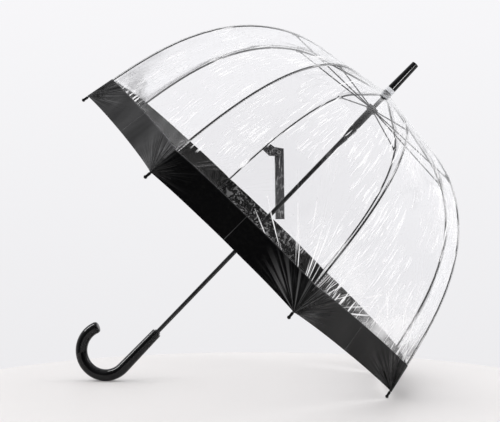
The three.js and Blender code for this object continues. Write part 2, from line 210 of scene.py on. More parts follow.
def loft(name, rings, material, hollow=False):
    """A closed body through rings of points. A hollow one joins its last ring to its first."""
    count = len(rings[0])
    points = np.concatenate(rings)
    faces = strip_faces(len(rings) + int(hollow), count, True)
    if hollow:
        faces = [tuple(corner % len(points) for corner in face) for face in faces]
    else:
        faces.append(tuple(range(count))[::-1])
        faces.append(tuple(range(len(points) - count, len(points))))
    piece = mesh_piece(name, points, faces, material)
    make_outward(piece)
    piece.data.set_sharp_from_angle(angle=CRISP_ANGLE)
    return piece


def make_outward(piece):
    """Turns the faces out, judged by the sign of the volume they close."""
    data = piece.data
    data.calc_loop_triangles()
    corners = np.array([v.co for v in data.vertices])
    triangles = np.array([t.vertices for t in data.loop_triangles])
    a, b, c = (corners[triangles[:, n]] for n in range(3))
    if np.einsum("ij,ij->i", a - corners[0], np.cross(b - corners[0], c - corners[0])).sum() < 0:
        data.flip_normals()


def circle(centre, radius, side, front, count):
    turn = np.arange(count) * math.tau / count
    spread = np.cos(turn)[:, None] * np.array(side) + np.sin(turn)[:, None] * np.array(front)
    return np.array(centre) + radius * spread


def rounded(radius, depth, edge, towards):
    """A quarter-round edge of a turned profile that ends flat at that depth."""
    return [
        (radius - edge + edge * math.cos(turn), depth - towards * edge * (1 - math.sin(turn)))
        for turn in np.linspace(0, math.pi / 2, 7)
    ]


def turned(name, profile, material, hollow=False):
    """A body turned about the shaft from (radius, depth) points."""
    rings = [circle(CROWN + DOWN * depth, radius, EAST, NORTH, 56) for radius, depth in profile]
    return loft(name, rings, material, hollow)


def add_modifier(piece, name, kind, **settings):
    made = piece.modifiers.new(name, kind)
    for key, value in settings.items():
        setattr(made, key, value)


def stand_for(piece, body, node):
    """The piece rides on the body in place of the node, which it hides."""
    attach(piece, body)
    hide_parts(node)
    return piece


# ---- Node trees ----


class Nodes:
    """A node tree, built by short calls that return output sockets."""

    def __init__(self, tree):
        self.tree = tree
        tree.nodes.clear()

    def fill(self, socket, value):
        if isinstance(value, bpy.types.NodeSocket):
            self.tree.links.new(value, socket)
        else:
            socket.default_value = value

    def node(self, kind, inputs=None, **settings):
        made = self.tree.nodes.new("ShaderNode" + kind)
        for key, value in settings.items():
            setattr(made, key, value)
        for key, value in (inputs or {}).items():
            self.fill(made.inputs[key], value)
        return made

    def math(self, operation, a, b=0.0, clamp=False):
        return self.node("Math", {0: a, 1: b}, operation=operation, use_clamp=clamp).outputs[0]

    def times(self, a, b):
        return self.math("MULTIPLY", a, b)

    def plus(self, a, b):
        return self.math("ADD", a, b)

    def larger(self, a, b):
        return self.math("MAXIMUM", a, b)

    def distance(self, a, b):
        return self.math("ABSOLUTE", self.plus(a, -b))

    def join(self, x, y, z):
        return self.node("CombineXYZ", {"X": x, "Y": y, "Z": z}).outputs[0]

    def ramp(self, value, low, high, bottom=0.0, top=1.0, kind="SMOOTHSTEP"):
        """From bottom where the value is low to top where it is high."""
        inputs = {"Value": value, "From Min": low, "From Max": high, "To Min": bottom, "To Max": top}
        return self.node("MapRange", inputs, interpolation_type=kind).outputs["Result"]

    def mix(self, share, first, second):
        return self.node("MixShader", {0: share, 1: first, 2: second}).outputs[0]


class Look(Nodes):
    """A material."""

    def __init__(self, name):
        self.material = bpy.data.materials.new(name)
        self.material.use_nodes = True
        super().__init__(self.material.node_tree)

    def finish(self, shader):
        self.node("OutputMaterial", {"Surface": shader})
        return self.material

    def solid_place(self):
        """A position that stays with the surface when its body moves."""
        return self.node("TexCoord").outputs["Object"]

    def stretched(self, place, scale, rotation=(0, 0, 0)):
        return self.node("Mapping", {"Vector": place, "Rotation": rotation, "Scale": scale}).outputs[0]

    def noise(self, place, scale=1.0, detail=2.0, roughness=0.5, distortion=0.0):
        inputs = {
            "Vector": place,
            "Scale": scale,
            "Detail": detail,
            "Roughness": roughness,
            "Distortion": distortion,
        }
        return self.node("TexNoise", inputs).outputs["Fac"]

    def bump(self, height, strength, distance, normal=None):
        inputs = {"Height": height, "Strength": strength, "Distance": distance}
        if normal is not None:
            inputs["Normal"] = normal
        return self.node("Bump", inputs).outputs["Normal"]

    def colours(self, share, first, second):
        """A colour between two."""
        made = self.node("Mix", data_type="RGBA")
        values = {"Factor_Float": share, "A_Color": (*first, 1), "B_Color": (*second, 1)}
        for socket in made.inputs:
            if socket.identifier in values:
                self.fill(socket, values[socket.identifier])
        return next(s for s in made.outputs if s.identifier == "Result_Color")

    def glance(self, normal, face_on):
        """Share reflected, alike on both sides of a sheet, from its value face on up to 1 at a slant."""
        view = self.node("NewGeometry").outputs["Incoming"]
        dot = self.node("VectorMath", {0: normal, 1: view}, operation="DOT_PRODUCT").outputs["Value"]
        slant = self.math("SUBTRACT", 1.0, self.math("ABSOLUTE", dot), clamp=True)
        return self.plus(self.times(self.math("POWER", slant, 5.0), 1 - face_on), face_on)

    def matt(self, tone, kind="BsdfDiffuse"):
        return self.node(kind, {"Color": (tone, tone, tone, 1)}).outputs[0]

    def surface(self, **inputs):
        """A principled shader. A name such as Base_Color stands for the input Base Color."""
        named = {key.replace("_", " "): value for key, value in inputs.items()}
        return self.node("BsdfPrincipled", named).outputs[0]


class SheetLook(Look):
    """A material of a canopy sheet, laid out by the sheet's own maps."""

    def __init__(self, name):
        super().__init__(name)
        self.gore, self.arc = self.map("gore_map")
        self.gap, self.to_rim = self.map("rib_map")
        self.nearest_rib = self.math("ROUND", self.gore)

    def map(self, name):
        made = self.node("UVMap", uv_map=name)
        split = self.node("SeparateXYZ", {0: made.outputs[0]})
        return split.outputs[0], split.outputs[1]

    def sheet_noise(self, across, along, layer=0.0, **settings):
        """Noise with that many cells across a gore and that many to the metre along it."""
        place = self.join(self.times(self.gore, across), self.times(self.arc, along), layer)
        return self.noise(place, **settings)

    def fan(self, pace, reach):
        """Noise along lines that run together at the nearest rib tip, and how near that tip is."""
        angle = self.math("ARCTAN2", self.gap, self.to_rim)
        squares = self.plus(self.times(self.gap, self.gap), self.times(self.to_rim, self.to_rim))
        reached = self.math("SQRT", squares)
        after_rib = self.math("GREATER_THAN", self.math("FRACT", self.gore), 0.5)
        layer = self.plus(self.times(self.nearest_rib, 3.7), self.times(after_rib, 11.3))
        lines = self.join(self.times(angle, pace), self.times(reached, 5.0), layer)
        return self.noise(lines, roughness=0.6), self.ramp(reached, 0.0, reach, 1.0, 0.0)

    def facing(self, around, centre):
        """1 at that place round the canopy, -1 opposite."""
        return self.math("COSINE", self.times(self.plus(around, -centre), PITCH))


# ---- Materials ----

LEANING_RIB = 8.0
FRONT_GORE = 6.5
FILM_MIRROR = 0.02
MARK_WHITE = 0.97
MARK_LIMIT = 0.8
WELD_DASH = 0.005
CRUMPLED_PLACE = 2.62
CREASED_TIP = 6.87
# How far from the border's welded edge the painted highlight along it starts, and where it is full.
EDGE_HIGHLIGHT_START = 0.0008
EDGE_HIGHLIGHT_FULL = 0.0004


def black_finish(name, tone, roughness, grain_scale, grain, mirror=0.5):
    """Black paint or moulding: slightly uneven tone and gloss, and a soft relief."""
    look = Look(name)
    place = look.solid_place()
    broad = look.noise(place, scale=18, detail=3)
    fine = look.noise(place, scale=grain_scale, roughness=0.6)
    light = tuple(c * 1.9 + 0.003 for c in tone)
    return look.finish(look.surface(
        Base_Color=look.colours(look.ramp(broad, 0.35, 0.7), tone, light),
        Roughness=look.ramp(broad, 0.3, 0.72, roughness * 0.8, roughness * 1.3),
        Specular_IOR_Level=mirror,
        Normal=look.bump(fine, grain, 0.0004),
    ))


def bright_finish():
    """Drawn spring steel, with fine lines and a little tarnish."""
    look = Look("spring_steel")
    place = look.solid_place()
    broad = look.noise(place, scale=60, detail=3)
    lines = look.noise(look.stretched(place, (900, 900, 60)), detail=1)
    return look.finish(look.surface(
        Base_Color=look.colours(look.ramp(broad, 0.4, 0.7), (0.55, 0.56, 0.58), (0.36, 0.35, 0.34)),
        Metallic=1.0,
        Roughness=look.ramp(broad, 0.3, 0.7, 0.22, 0.38),
        Normal=look.bump(lines, 0.2, 0.0002),
    ))


def pale_plastic():
    """Translucent moulded plastic of the washer, a little milky."""
    look = Look("pale_plastic")
    cloud = look.noise(look.solid_place(), scale=160, detail=3)
    clear = look.node("BsdfTransparent", {"Color": (0.93, 0.94, 0.95, 1)}).outputs[0]
    milk = look.surface(
        Base_Color=look.colours(cloud, (0.62, 0.63, 0.65), (0.84, 0.85, 0.86)),
        Roughness=look.ramp(cloud, 0.3, 0.7, 0.14, 0.3),
        Subsurface_Weight=0.3,
        Subsurface_Radius=(0.002, 0.002, 0.002),
        Normal=look.bump(cloud, 0.15, 0.0004),
    )
    return look.finish(look.mix(look.ramp(cloud, 0.3, 0.7, 0.55, 0.8), clear, milk))


def drawn_rib(look):
    """1 by the rib that leans on the table, whose folds are deepest, 0 opposite."""
    return look.ramp(look.facing(look.nearest_rib, LEANING_RIB), 0.3, 0.75)


def film_streaks(look, drawn):
    """Short white creases that run down the gores, in patches."""
    lines = look.sheet_noise(64, 17, roughness=0.6, distortion=0.5)
    patches = look.sheet_noise(2.1, 7.5, 4.2)
    level = look.plus(patches, look.times(drawn, 0.10))
    return look.times(look.ramp(lines, 0.57, 0.63), look.ramp(level, 0.52, 0.58))


def film_fans(look, fan, near_tip):
    """Long white creases that run together at the rib tips."""
    streaks = look.times(look.ramp(fan, 0.60, 0.70), look.ramp(near_tip, 0.05, 0.6))
    return look.times(streaks, look.plus(look.times(drawn_rib(look), 0.95), 0.05))


def film_gathers(look):
    """White pleats by the crown, fewest on the front gore."""
    lines = look.sheet_noise(11, 13, 9.1, detail=3, roughness=0.6, distortion=0.8)
    near_crown = look.ramp(look.arc, 0.04, 0.15, 1.0, 0.0)
    aside = look.ramp(look.facing(look.gore, FRONT_GORE), 0.5, 0.9, 1.0, 0.1)
    return look.times(look.times(look.ramp(lines, 0.52, 0.60), near_crown), aside)


def film_haze(look, drawn):
    """Soft white haze on the side that leans on the table."""
    cloud = look.sheet_noise(1.3, 5.0, 7.7, detail=4, roughness=0.62, distortion=0.5)
    return look.times(look.times(look.ramp(cloud, 0.46, 0.66), drawn), 0.55)


def film_weld(look):
    """The dashed line of the weld on each side of a rib."""
    dash = look.math("SINE", look.times(look.arc, math.tau / WELD_DASH))
    line = look.times(look.ramp(look.gap, 0.0022, 0.0027), look.ramp(look.gap, 0.0033, 0.0038, 1.0, 0.0))
    return look.times(line, look.ramp(dash, -0.4, 0.2, 0.15, 0.5))


def clear_film():
    """Clear film: nearly invisible face on, mirror-like at a slant, with white creases in patches."""
    look = SheetLook("clear_film")
    drawn = look.ramp(look.facing(look.gore, LEANING_RIB), 0.45, 0.95)
    fan, near_tip = look.fan(pace=26.0, reach=0.34)
    creases = look.larger(film_streaks(look, drawn), film_fans(look, fan, near_tip))
    marks = look.larger(creases, look.larger(film_gathers(look), film_haze(look, drawn)))

    slack_relief = look.sheet_noise(3.3, 16, 1.7, detail=3, roughness=0.55, distortion=0.4)
    normal = look.bump(slack_relief, 0.3, 0.005)
    normal = look.bump(fan, look.times(near_tip, 0.4), 0.003, normal)
    normal = look.bump(marks, 0.3, 0.001, normal)

    clear = look.node("BsdfTransparent", {"Color": (0.990, 0.990, 0.992, 1)}).outputs[0]
    gloss = look.node("BsdfAnisotropic", {"Color": (1, 1, 1, 1), "Roughness": 0.1, "Normal": normal})
    film = look.mix(look.glance(normal, FILM_MIRROR), clear, gloss.outputs[0])
    white = look.mix(0.5, look.matt(MARK_WHITE), look.matt(MARK_WHITE, "BsdfTranslucent"))
    share = look.math("MINIMUM", look.larger(look.times(marks, 0.75), film_weld(look)), MARK_LIMIT)
    return look.finish(look.mix(share, film, white))


def vinyl_crease(look):
    """The pressed crease down the middle of each gore, plainest at the rim."""
    across = look.distance(look.math("FRACT", look.gore), 0.5)
    fades = look.ramp(look.to_rim, 0.0, 0.03, 0.9, 0.35)
    return look.times(look.ramp(across, 0.0008, 0.0026, 1.0, 0.0), fades)


def vinyl_fold_highlights(look, fan, near_tip):
    """Painted highlights: pale lines on the folds that run to the most creased rib tip."""
    by_tip = look.ramp(look.distance(look.gore, CREASED_TIP), 0.08, 0.4, 0.45, 0.0)
    return look.times(look.ramp(fan, 0.55, 0.70), look.times(near_tip, by_tip))


def edge_highlight(look):
    """A painted highlight: a thin pale line along the cut edge of the sheet, where it is welded to the
    film.
    """
    width = RIM_ARC - BORDER_ARC + BORDER_LAP
    return look.ramp(look.to_rim, width - EDGE_HIGHLIGHT_START, width - EDGE_HIGHLIGHT_FULL, 0.0, 0.3)


def black_vinyl():
    """Glossy black sheet: folds that run to the tips, a crumpled side and a crease down each gore. Pale
    grey is painted on as highlights on the folds, the wrinkles and the welded edge, and as a faint line
    along each crease.
    """
    look = SheetLook("black_vinyl")
    fan, near_tip = look.fan(pace=8.0, reach=0.12)
    fan_depth = look.plus(look.times(drawn_rib(look), 0.5), 0.5)
    crumples = look.sheet_noise(26, 80, detail=3, roughness=0.6, distortion=1.6)
    crumpled = look.ramp(look.distance(look.gore, CRUMPLED_PLACE), 0.2, 0.5, 1.0, 0.0)
    swell = look.sheet_noise(5, 12, 6.6)
    crease = vinyl_crease(look)

    normal = look.bump(swell, 0.45, 0.006)
    normal = look.bump(fan, look.times(near_tip, fan_depth), 0.022, normal)
    normal = look.bump(crumples, crumpled, 0.012, normal)
    normal = look.bump(crease, 0.4, 0.001, normal)

    worn = look.ramp(look.sheet_noise(40, 200, 3.1), 0.45, 0.75)
    sheet = look.surface(
        Base_Color=look.colours(worn, (0.0012, 0.0012, 0.0014), (0.003, 0.003, 0.003)),
        Roughness=look.ramp(swell, 0.3, 0.7, 0.10, 0.22),
        Specular_IOR_Level=0.28,
        Normal=normal,
    )
    # Painted highlights: pale grey on the wrinkles of the crumpled side.
    wrinkle_highlights = look.times(look.ramp(crumples, 0.54, 0.60), look.times(crumpled, 0.85))
    # Pale grey painted on the sheet: highlights on the folds by the tips, on the wrinkles and along the
    # welded edge, and a faint pale line along each gore's crease.
    lines = look.larger(look.times(crease, 0.3), vinyl_fold_highlights(look, fan, near_tip))
    lines = look.larger(edge_highlight(look), look.larger(wrinkle_highlights, lines))
    # The matt pale grey of those painted highlights and lines, mixed over the sheet.
    return look.finish(look.mix(lines, sheet, look.matt(0.22)))


def strap_vinyl():
    """The strap's doubled black sheet, with fine diagonal creases and pale scuffs."""
    look = Look("strap_vinyl")
    place = look.solid_place()
    slanted = look.stretched(place, (260, 30, 40), rotation=(0, math.radians(35), 0))
    creases = look.noise(slanted, roughness=0.6, distortion=0.8)
    broad = look.noise(place, scale=35)
    sheet = look.surface(
        Base_Color=look.colours(look.ramp(broad, 0.4, 0.7), (0.045, 0.045, 0.047), (0.075, 0.075, 0.077)),
        Roughness=look.ramp(broad, 0.3, 0.7, 0.18, 0.32),
        Normal=look.bump(creases, 0.6, 0.0012),
    )
    return look.finish(look.mix(look.ramp(creases, 0.58, 0.68, 0.0, 0.5), sheet, look.matt(0.7)))


FILM = clear_film()
VINYL = black_vinyl()
STRAP_VINYL = strap_vinyl()
GLOSS_BLACK = black_finish("gloss_black_plastic", (0.002, 0.002, 0.0022), 0.06, 70, 0.01, mirror=0.3)
MOULDED_BLACK = black_finish("moulded_black_plastic", (0.006, 0.006, 0.0065), 0.32, 220, 0.08)
BLACK_STEEL = black_finish("black_steel", (0.004, 0.004, 0.0045), 0.3, 90, 0.04)
BLACK_ROD = black_finish("black_rod", (0.004, 0.004, 0.0045), 0.34, 90, 0.05)
SPRING_STEEL = bright_finish()
PALE_PLASTIC = pale_plastic()


# ---- Closed shape of the frame ----

HUB_HOLD = 0.008
HUB_FREE = 0.015
JOINT_BLEND = 0.010
FLEX_BLEND = 0.012


def closing_turn(name):
    """The motion of a hinge from rest to its limit, in the row frame at rest."""
    joint = JOINTS[name]
    pivot = Vector(joint["pos_m"])
    angle = math.radians(joint["range_deg"][1])
    turn = Matrix.Rotation(angle, 4, Vector(joint["axis"]))
    return Matrix.Translation(pivot) @ turn @ Matrix.Translation(-pivot)


def closed_bodies():
    """Where each rib body goes when the runner reaches the handle."""
    motion = {"stick": Matrix.Identity(4)}
    for k in RIBS:
        top = closing_turn(f"rib_fold_{k}")
        upper = top @ closing_turn(f"rod_joint_{k}")
        motion[f"rib_{k}_top"] = top
        motion[f"rib_{k}_upper"] = upper
        motion[f"rib_{k}_lower"] = upper @ closing_turn(f"rod_flex_{k}")
    return motion


CLOSED = closed_bodies()


def rib_shares(arc):
    """How much the sheet over a rib follows the hub and each bar of that rib, at each arc."""
    leaves_hub = smoothstep(arc, HUB_HOLD, HUB_FREE)
    past_joint = smoothstep(arc, ROD_JOINT_ARC - JOINT_BLEND, ROD_JOINT_ARC + JOINT_BLEND)
    past_flex = smoothstep(arc, ROD_FLEX_ARC - FLEX_BLEND, ROD_FLEX_ARC + FLEX_BLEND)
    return {
        "stick": 1 - leaves_hub,
        "top": leaves_hub * (1 - past_joint),
        "upper": leaves_hub * past_joint * (1 - past_flex),
        "lower": leaves_hub * past_joint * past_flex,
    }


def body_name(number, part):
    return "stick" if part == "stick" else f"rib_{number}_{part}"


def fold_rig():
    """One bone for each rib body, so that one sheet can follow them all. Each bone copies its body."""
    data = bpy.data.armatures.new("fold_rig")
    rig = add_object("fold_rig", data)
    bpy.context.view_layer.objects.active = rig
    bpy.ops.object.mode_set(mode="EDIT")
    for name in CLOSED:
        bone = data.edit_bones.new(name)
        bone.head = (0, 0, 0)
        bone.tail = (0, 0.1, 0)
    bpy.ops.object.mode_set(mode="OBJECT")
    for name in CLOSED:
        follow = rig.pose.bones[name].constraints.new("COPY_TRANSFORMS")
        follow.target = frame["bodies"][name]
    return rig


RIG = fold_rig()


def add_closed_shape(piece, points):
    """A second shape, before any rig, that the piece reaches as the runner comes down."""
    piece.shape_key_add(name="open")
    furled = piece.shape_key_add(name="furled")
    furled.data.foreach_set("co", np.asarray(points).astype(np.float32).ravel())
    driver = furled.driver_add("value").driver
    gap = driver.variables.new()
    gap.name = "gap"
    gap.type = "LOC_DIFF"
    gap.targets[0].id = frame["bodies"]["runner"]
    gap.targets[1].id = frame["bodies"]["stick"]
    driver.expression = f"gap / {TRAVEL}"


# ---- Canopy ----

GORE_COLUMNS = 42
COLUMN_EVENNESS = 0.6
SAG_SHARE = 0.021
SAG_START = 0.05
SAG_FULL = 0.3
RIM_HOLLOW = 0.0055
RIM_HOLLOW_START = 0.35
FOLD_WAVES = ((9, 1.0), (15, 0.7), (23, 0.5))
FOLD_SIZE = 0.0012
FOLD_REACH = 0.07
FOLD_SEED = 40
PLEAT_WAVES = ((3, 1.0, 0.4), (5, 0.6, 2.0))
PLEAT_SIZE = 0.0005
PLEAT_REACH = 0.05
SLACK_SIZE = 0.0009
SLACK_SEED = 11
SHEET_THICKNESS = 0.0002
BORDER_PROUD = 0.0003
HUB_ROWS = [0.0054, 0.0065, 0.008, 0.010, 0.012, 0.0145, 0.0175, 0.021, 0.025, 0.030, 0.036, 0.043]
DOME_START = 0.051
HEM_ROWS = [RIM_ARC - 0.0008, RIM_ARC]

# The furled canopy: how much each turn and the returning half of a gore stand further out.
WRAP_GROWTH = 0.0024
WRAP_LAYER = 0.0008


def columns():
    """Gore number and share across it, for each column round the canopy, closer together by the ribs."""
    even = np.arange(GORE_COLUMNS) / GORE_COLUMNS
    eased = (1 - np.cos(math.pi * even)) / 2
    shares = COLUMN_EVENNESS * even + (1 - COLUMN_EVENNESS) * eased
    return np.repeat(np.array(RIBS), GORE_COLUMNS), np.tile(shares, RIB_COUNT)


GORE, SHARE = columns()
AROUND = GORE + SHARE
BOW = 4 * SHARE * (1 - SHARE)


def sheet_arcs(rows):
    """Arc of each point. Towards the rim the rows draw back between the ribs, so the rim is hollow."""
    hollow = RIM_HOLLOW * smoothstep(rows, RIM_HOLLOW_START, RIM_ARC)
    return rows[:, None] - hollow[:, None] * BOW**0.7


def rib_line(arc, angle):
    radius, height = canopy_line(arc)
    return place(radius, angle, height + hub_lift(arc))


def open_sheet(arc, offset):
    """The open canopy: each row runs from rib to rib, drawn in between them, with its slack and folds."""
    before = rib_angle(GORE)
    near = rib_line(arc, before)
    far = rib_line(arc, before + PITCH)
    chord = np.linalg.norm(far - near, axis=-1)
    slope = canopy_slope(arc)
    middle = place(1, before + PITCH / 2, 0) - np.array(CROWN)
    normal = np.cos(slope)[..., None] * np.array(UP) + np.sin(slope)[..., None] * middle[None]
    sag = -SAG_SHARE * chord * BOW * smoothstep(arc, SAG_START, SAG_FULL)
    relief = sag + tip_folds(arc, chord) + crown_gathers(arc) + slack(arc)
    return near + (far - near) * SHARE[None, :, None] + normal * (relief + offset)[..., None]


def tip_folds(arc, chord):
    """Folds in the sheet that run together at each rib tip."""
    gap = np.minimum(SHARE, 1 - SHARE) * chord
    to_rim = RIM_ARC - arc
    angle = np.arctan2(gap, to_rim)
    reach = np.hypot(gap, to_rim)
    side = np.where(SHARE < 0.5, GORE * 2, GORE * 2 + 1)
    folds = np.zeros(arc.shape)
    for number in np.unique(side):
        here = np.broadcast_to(side == number, arc.shape)
        phases = np.random.RandomState(FOLD_SEED + number).uniform(0, math.tau, len(FOLD_WAVES))
        wave = sum(size * np.sin(pace * angle + phase) for (pace, size), phase in zip(FOLD_WAVES, phases))
        folds = np.where(here, wave, folds)
    size = FOLD_SIZE * smoothstep(reach, 0.0, 0.02) * np.exp(-reach / FOLD_REACH)
    return folds * size * smoothstep(gap, 0.0, 0.004)


def crown_gathers(arc):
    """Small pleats where the sheet is gathered under the washer."""
    wave = sum(size * np.sin(AROUND * math.tau * pace + phase) for pace, size, phase in PLEAT_WAVES)
    return PLEAT_SIZE * wave * smoothstep(arc, 0.012, 0.03) * np.exp(-arc / PLEAT_REACH)


def slack(arc):
    """Broad slackness, longer down the gore than across it."""
    return SLACK_SIZE * ripple(AROUND * 3.0, arc * 7.0, SLACK_SEED) * smoothstep(arc, 0.06, 0.25) * BOW


def rib_motion(arc, number):
    """The affine motion to the closed pose that a rib's bars share out along the sheet over them."""
    motion = np.zeros((*arc.shape, 3, 4))
    for part, share in rib_shares(arc).items():
        motion = motion + share[..., None, None] * np.array(CLOSED[body_name(number, part)])[:3]
    return motion


def sheet_motion(arc):
    """The motion that the rig gives each point, shared between the ribs on either side."""
    motion = np.zeros((*arc.shape, 3, 4))
    for k in RIBS:
        here = GORE == k
        weight = SHARE[here][None, :, None, None]
        near = rib_motion(arc[:, here], k)
        far = rib_motion(arc[:, here], k % RIB_COUNT + 1)
        motion[:, here] = near * (1 - weight) + far * weight
    return motion


def carried(points, motion):
    return (motion[..., :3] @ points[..., None])[..., 0] + motion[..., 3]


def carried_back(points, motion):
    """Where points have to be before the motion, to end at these places."""
    return np.linalg.solve(motion[..., :3], (points - motion[..., 3])[..., None])[..., 0]


def closed_profile(rows):
    """Each row's height, radius over the ribs and reach round the shaft when the canopy is closed."""
    arc = rows[:, None]
    closed = carried(rib_line(arc, rib_angle(1)), rib_motion(arc, 1)) - np.array(CROWN)
    height = closed @ np.array(UP)
    radius = np.linalg.norm(closed - height[..., None] * np.array(UP), axis=-1)
    half_gore = canopy_line(arc)[0] * math.sin(PITCH / 2)
    reach = half_gore / radius + PITCH / 2
    for _ in range(6):
        reach = half_gore / (radius + WRAP_GROWTH * reach / 2) + PITCH / 2
    return height, radius, reach


def outermost(radius, reach):
    """The radius of the crease where a gore turns back."""
    return radius + WRAP_GROWTH * (reach - PITCH / 2) + WRAP_LAYER


def closed_sheet(rows, offset, straight):
    """The closed canopy: each gore folds in two and wraps round the ribs, outside the gore before it.
    By the crown it stays straight, as the ribs carry it."""
    height, radius, reach = closed_profile(rows)
    open_radius, _ = canopy_line(rows[:, None])

    outgoing = SHARE < 0.5
    folded = 1 - np.abs(2 * SHARE - 1)
    turn = np.where(outgoing, folded * reach, PITCH + folded * (reach - PITCH))
    since_rib = np.where(outgoing, turn, turn - PITCH)
    layer = np.where(outgoing, 0.0, WRAP_LAYER * smoothstep(since_rib, 0.0, 0.5))
    wrapped = radius + WRAP_GROWTH * since_rib + layer
    wrapped = wrapped + (outermost(radius, reach) - wrapped) * smoothstep(folded, 0.86, 1.0)
    facing = np.where(outgoing, 1, -1) * smoothstep(since_rib, 0, 0.2) * (1 - smoothstep(folded, 0.9, 1))
    wrapped = wrapped + offset * facing

    around = place(wrapped, rib_angle(GORE) + turn, height)
    closes = smoothstep(1 - radius / open_radius, 0.02, 0.35)[..., None]
    return straight + (around - straight) * closes


def add_sheet_maps(piece, rows, arc):
    """gore_map holds gore number plus share across it, and arc. rib_map holds the distance to the
    nearest rib and the distance of the row to the rim."""
    count = len(AROUND)
    radius, _ = canopy_line(arc)
    gap = np.minimum(SHARE, 1 - SHARE) * (2 * radius * math.sin(PITCH / 2))
    loops = np.zeros(len(piece.data.loops), int)
    piece.data.loops.foreach_get("vertex_index", loops)
    row, column = np.divmod(loops, count)
    quads = loops.reshape(-1, 4) % count
    last = (quads == count - 1).any(axis=1) & (quads == 0).any(axis=1)
    wraps = np.repeat(last, 4) & (column == 0)
    across = np.where(wraps, RIB_COUNT + 1.0, AROUND[column])
    gore_map = piece.data.uv_layers.new(name="gore_map")
    gore_map.data.foreach_set("uv", np.stack([across, arc[row, column]], -1).ravel())
    rib_map = piece.data.uv_layers.new(name="rib_map")
    rib_map.data.foreach_set("uv", np.stack([gap[row, column], RIM_ARC - rows[row]], -1).ravel())


def add_rig(piece, arc):
    """Vertex groups that share each point between the bars of the ribs on either side."""
    groups = {name: piece.vertex_groups.new(name=name) for name in CLOSED}
    column_count = arc.shape[1]
    for column in range(column_count):
        k = int(GORE[column])
        for number, weight in ((k, 1 - SHARE[column]), (k % RIB_COUNT + 1, SHARE[column])):
            for part, bar in rib_shares(arc[:, column]).items():
                group = groups[body_name(number, part)]
                for row in np.nonzero(bar * weight > 1e-5)[0]:
                    group.add([int(row) * column_count + column], float(bar[row] * weight), "ADD")
    add_modifier(piece, "follow_ribs", "ARMATURE", object=RIG)


def canopy_sheet(name, rows, offset, material, node):
    """One sheet right round the canopy that follows all the ribs and folds as the runner moves."""
    rows = np.asarray(rows)
    arc = sheet_arcs(rows)
    opened = open_sheet(arc, offset)
    piece = mesh_piece(name, opened, strip_faces(len(rows), len(GORE), True), material)
    add_sheet_maps(piece, rows, arc)
    stand_for(piece, "stick", node)
    motion = sheet_motion(arc)
    closed = closed_sheet(rows, offset, carried(opened, motion))
    add_closed_shape(piece, carried_back(closed, motion))
    add_rig(piece, arc)
    add_modifier(piece, "sheet_thickness", "SOLIDIFY", thickness=SHEET_THICKNESS, offset=0)


def canopy():
    dome = np.linspace(DOME_START, BORDER_ARC - 0.001, 66)
    canopy_sheet("canopy_film_sheet", [*HUB_ROWS, *dome], 0.0, FILM, "canopy_film")
    border = [*np.linspace(BORDER_ARC - BORDER_LAP, RIM_ARC - 0.0015, 20), *HEM_ROWS]
    canopy_sheet("canopy_border_sheet", border, BORDER_PROUD, VINYL, "canopy_border")


# ---- Handle ----

BORE_RADIUS = 0.0047
BORE_LENGTH = 0.012
BORE_EDGE = 0.0006
CHAMFER = 0.0004
GRIP_TOP = 0.680
GRIP_BEND = 0.782
GRIP_TOP_RADIUS = 0.0104
GRIP_RADIUS = 0.0122
GRIP_EDGE = 0.0012
CROOK_RADIUS = 0.051
CROOK_SWEEP = math.radians(203)
CROOK_LIP = 0.0002
CROOK_LIP_INSET = 0.0003
PART_LINE = 0.0003
END_CAP_RADIUS = 0.0116
END_CAP_LENGTH = 0.005
END_CAP_EDGE = 0.0044


def crook_frame(angle):
    """Centre of the crook and the way it runs, that far round its bend."""
    centre = CROWN + DOWN * (GRIP_BEND + CROOK_RADIUS * math.sin(angle))
    centre = centre + EAST * CROOK_RADIUS * (math.cos(angle) - 1)
    along = DOWN * math.cos(angle) - EAST * math.sin(angle)
    return centre, along


def handle_ring(centre, along, radius):
    return circle(centre, radius, along.cross(NORTH), NORTH, 48)


def grip_ring(radius, depth):
    return handle_ring(CROWN + DOWN * depth, DOWN, radius)


def handle_shell():
    """The straight grip, with a bore for the shaft, and its crook."""
    profile = [
        (BORE_RADIUS, GRIP_TOP + BORE_LENGTH),
        (BORE_RADIUS, GRIP_TOP + BORE_EDGE),
        (BORE_RADIUS + BORE_EDGE, GRIP_TOP),
    ]
    profile += rounded(GRIP_TOP_RADIUS, GRIP_TOP, GRIP_EDGE, -1)[::-1]
    rings = [grip_ring(radius, depth) for radius, depth in profile]
    for share in np.linspace(0.04, 1, 14):
        radius = GRIP_TOP_RADIUS + (GRIP_RADIUS - GRIP_TOP_RADIUS) * share
        rings.append(grip_ring(radius, GRIP_TOP + (GRIP_BEND - GRIP_TOP) * share))
    for angle in np.linspace(0, CROOK_SWEEP, 61)[1:]:
        rings.append(handle_ring(*crook_frame(angle), GRIP_RADIUS))
    centre, along = crook_frame(CROOK_SWEEP)
    rings.append(handle_ring(centre + along * CROOK_LIP, along, GRIP_RADIUS - CROOK_LIP_INSET))
    piece = loft("crook_handle_shell", rings, GLOSS_BLACK)
    return stand_for(piece, "stick", "crook_handle")


def end_cap():
    """The cap that closes the crook, with a flat end and a rounded edge."""
    centre, along = crook_frame(CROOK_SWEEP)
    profile = [(END_CAP_RADIUS - CHAMFER, 0), (END_CAP_RADIUS, CHAMFER)]
    profile += rounded(END_CAP_RADIUS, END_CAP_LENGTH, END_CAP_EDGE, 1)
    foot = centre + along * PART_LINE
    rings = [handle_ring(foot + along * depth, along, radius) for radius, depth in profile]
    piece = loft("handle_end_plug", rings, GLOSS_BLACK)
    return stand_for(piece, "stick", "handle_end_cap")


# ---- Ferrule and washer ----

